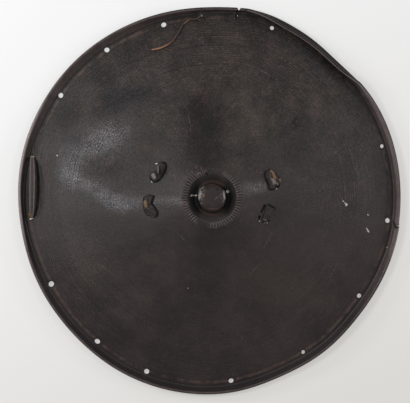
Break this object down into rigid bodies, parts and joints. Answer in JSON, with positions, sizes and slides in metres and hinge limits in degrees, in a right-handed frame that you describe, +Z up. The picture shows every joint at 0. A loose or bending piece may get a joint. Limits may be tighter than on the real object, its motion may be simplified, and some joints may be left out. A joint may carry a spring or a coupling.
{
  "type": "hide shield",
  "caption": "Round hide shield, a low cone with a domed boss, a turned-up rim, a leather grip behind, a rim loop and a rawhide tie. It lies face up.",
  "frame": {"origin": "on the floor under the middle of the outline's box, the shield lying face up", "axes": "+Z up out of the face, +Y towards the edge with the tie thong, +X away from the rim loop"},
  "size_m": [0.6986, 0.708, 0.0961],
  "materials": {
    "black_hide": "dark thick hide, dry with a dull sheen, rubbed reddish brown at the edge",
    "grip_leather": "brown leather, worn by the hand",
    "thong_leather": "dark leather thong, raw orange brown where torn",
    "rawhide": "reddish rawhide"
  },
  "bodies": {
    "root": {"hide": "black_hide", "hand_grip": "grip_leather", "grip_thong_upper_left": "thong_leather", "grip_thong_lower_left": "thong_leather", "grip_thong_upper_right": "thong_leather", "grip_thong_lower_right": "thong_leather", "rim_loop": "thong_leather", "tie_thong": "rawhide"}
  },
  "joints": []
}
